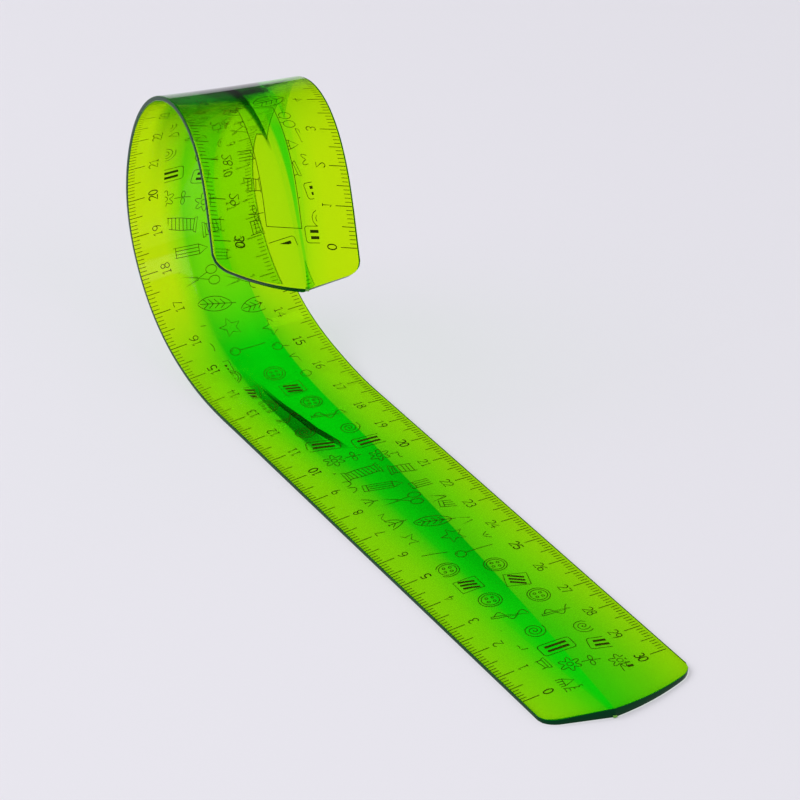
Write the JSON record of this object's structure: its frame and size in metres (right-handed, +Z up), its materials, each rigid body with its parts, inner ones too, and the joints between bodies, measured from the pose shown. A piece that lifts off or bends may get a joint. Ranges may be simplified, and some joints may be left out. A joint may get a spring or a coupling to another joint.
{
  "type": "flexible ruler",
  "caption": "Clear green flexible plastic strip ruler, flat at one end and curled up over itself at the other, with bending links along the curl and a centimetre scale on each edge.",
  "frame": {"origin": "zero mark of the scale, on the middle line of the printed underside", "axes": "+X along the scale from the zero mark towards the curl, +Y to the left edge, +Z up out of the table"},
  "size_m": [0.1907, 0.0527, 0.0826],
  "materials": {
    "clear_green_plastic": "clear gloss"
  },
  "bodies": {
    "lying_run": {"lying_run": "clear_green_plastic"},
    "flex_link_13": {"flex_link_13": "clear_green_plastic"},
    "flex_link_14": {"flex_link_14": "clear_green_plastic"},
    "flex_link_15": {"flex_link_15": "clear_green_plastic"},
    "flex_link_16": {"flex_link_16": "clear_green_plastic"},
    "flex_link_17": {"flex_link_17": "clear_green_plastic"},
    "flex_link_18": {"flex_link_18": "clear_green_plastic"},
    "flex_link_19": {"flex_link_19": "clear_green_plastic"},
    "flex_link_20": {"flex_link_20": "clear_green_plastic"},
    "flex_link_21": {"flex_link_21": "clear_green_plastic"},
    "flex_link_22": {"flex_link_22": "clear_green_plastic"},
    "flex_link_23": {"flex_link_23": "clear_green_plastic"},
    "flex_link_24": {"flex_link_24": "clear_green_plastic"},
    "flex_link_25": {"flex_link_25": "clear_green_plastic"},
    "flex_link_26": {"flex_link_26": "clear_green_plastic"},
    "flex_link_27": {"flex_link_27": "clear_green_plastic"},
    "flex_link_28": {"flex_link_28": "clear_green_plastic"},
    "free_end": {"free_end": "clear_green_plastic"}
  },
  "joints": [
    {"name": "bend_at_125mm", "type": "hinge", "parent": "lying_run", "child": "flex_link_13", "pos_m": [0.125, 0, 0.0006], "axis": [-0.2139, -0.9768, -0.0003], "range_deg": [-2.05, 0.32]},
    {"name": "bend_at_135mm", "type": "hinge", "parent": "flex_link_13", "child": "flex_link_14", "pos_m": [0.13494, 0.00001, 0.00096], "axis": [-0.2493, -0.9684, -0.0005], "range_deg": [-5.65, 0.86]},
    {"name": "bend_at_145mm", "type": "hinge", "parent": "flex_link_14", "child": "flex_link_15", "pos_m": [0.14478, 0.00005, 0.00226], "axis": [-0.0732, -0.997, 0.0246], "range_deg": [-8.43, 1.28]},
    {"name": "bend_at_155mm", "type": "hinge", "parent": "flex_link_15", "child": "flex_link_16", "pos_m": [0.15427, 0.00013, 0.005], "axis": [-0.0072, -0.9991, 0.0417], "range_deg": [-13.69, 2.07]},
    {"name": "bend_at_165mm", "type": "hinge", "parent": "flex_link_16", "child": "flex_link_17", "pos_m": [0.16278, 0.0003, 0.00985], "axis": [-0.0042, -0.9991, 0.0431], "range_deg": [-18.17, 2.73]},
    {"name": "bend_at_175mm", "type": "hinge", "parent": "flex_link_17", "child": "flex_link_18", "pos_m": [0.16936, 0.00059, 0.01706], "axis": [-0.0042, -0.9991, 0.0431], "range_deg": [-17.17, 2.59]},
    {"name": "bend_at_185mm", "type": "hinge", "parent": "flex_link_18", "child": "flex_link_19", "pos_m": [0.17354, 0.00095, 0.02592], "axis": [-0.0042, -0.9991, 0.0429], "range_deg": [-15, 2.26]},
    {"name": "bend_at_195mm", "type": "hinge", "parent": "flex_link_19", "child": "flex_link_20", "pos_m": [0.17527, 0.00136, 0.03557], "axis": [-0.0047, -0.9992, 0.0396], "range_deg": [-14.97, 2.26]},
    {"name": "bend_at_205mm", "type": "hinge", "parent": "flex_link_20", "child": "flex_link_21", "pos_m": [0.17446, 0.00179, 0.04535], "axis": [-0.0009, -1, 0.0083], "range_deg": [-13.89, 2.78]},
    {"name": "bend_at_215mm", "type": "hinge", "parent": "flex_link_21", "child": "flex_link_22", "pos_m": [0.17133, 0.00223, 0.05467], "axis": [0.0372, -0.9942, -0.1004], "range_deg": [-11.85, 2.38]},
    {"name": "bend_at_225mm", "type": "hinge", "parent": "flex_link_22", "child": "flex_link_23", "pos_m": [0.16634, 0.0027, 0.06317], "axis": [0.0794, -0.981, -0.1769], "range_deg": [-11.76, 2.36]},
    {"name": "bend_at_235mm", "type": "hinge", "parent": "flex_link_23", "child": "flex_link_24", "pos_m": [0.15977, 0.00326, 0.07049], "axis": [0.0517, -0.9876, -0.148], "range_deg": [-14.42, 2.9]},
    {"name": "bend_at_245mm", "type": "hinge", "parent": "flex_link_24", "child": "flex_link_25", "pos_m": [0.15167, 0.004, 0.07595], "axis": [0.0458, -0.9887, -0.1425], "range_deg": [-18.3, 3.67]},
    {"name": "bend_at_255mm", "type": "hinge", "parent": "flex_link_25", "child": "flex_link_26", "pos_m": [0.14236, 0.0051, 0.07864], "axis": [0.0677, -0.9867, -0.1481], "range_deg": [-19.96, 4]},
    {"name": "bend_at_265mm", "type": "hinge", "parent": "flex_link_26", "child": "flex_link_27", "pos_m": [0.13274, 0.00666, 0.07811], "axis": [0.0803, -0.9858, -0.1476], "range_deg": [-17.63, 3.54]},
    {"name": "bend_at_275mm", "type": "hinge", "parent": "flex_link_27", "child": "flex_link_28", "pos_m": [0.12374, 0.0087, 0.07478], "axis": [0.0609, -0.9858, -0.1566], "range_deg": [-13.38, 2.69]},
    {"name": "bend_at_285mm", "type": "hinge", "parent": "flex_link_28", "child": "free_end", "pos_m": [0.11576, 0.0111, 0.06949], "axis": [0.0403, -0.985, -0.1676], "range_deg": [-11.2, 2.25]}
  ],
  "couplings": [
    {"joint": "bend_at_125mm", "follows": "bend_at_165mm", "ratio": 0.11187},
    {"joint": "bend_at_135mm", "follows": "bend_at_165mm", "ratio": 0.31025},
    {"joint": "bend_at_145mm", "follows": "bend_at_165mm", "ratio": 0.46327},
    {"joint": "bend_at_155mm", "follows": "bend_at_165mm", "ratio": 0.75254},
    {"joint": "bend_at_175mm", "follows": "bend_at_165mm", "ratio": 0.94383},
    {"joint": "bend_at_185mm", "follows": "bend_at_165mm", "ratio": 0.82459},
    {"joint": "bend_at_195mm", "follows": "bend_at_165mm", "ratio": 0.82287},
    {"joint": "bend_at_215mm", "follows": "bend_at_205mm", "ratio": 0.85179},
    {"joint": "bend_at_225mm", "follows": "bend_at_205mm", "ratio": 0.84587},
    {"joint": "bend_at_235mm", "follows": "bend_at_205mm", "ratio": 1.0372},
    {"joint": "bend_at_245mm", "follows": "bend_at_205mm", "ratio": 1.3168},
    {"joint": "bend_at_255mm", "follows": "bend_at_205mm", "ratio": 1.4359},
    {"joint": "bend_at_265mm", "follows": "bend_at_205mm", "ratio": 1.2684},
    {"joint": "bend_at_275mm", "follows": "bend_at_205mm", "ratio": 0.96256},
    {"joint": "bend_at_285mm", "follows": "bend_at_205mm", "ratio": 0.80559}
  ]
}
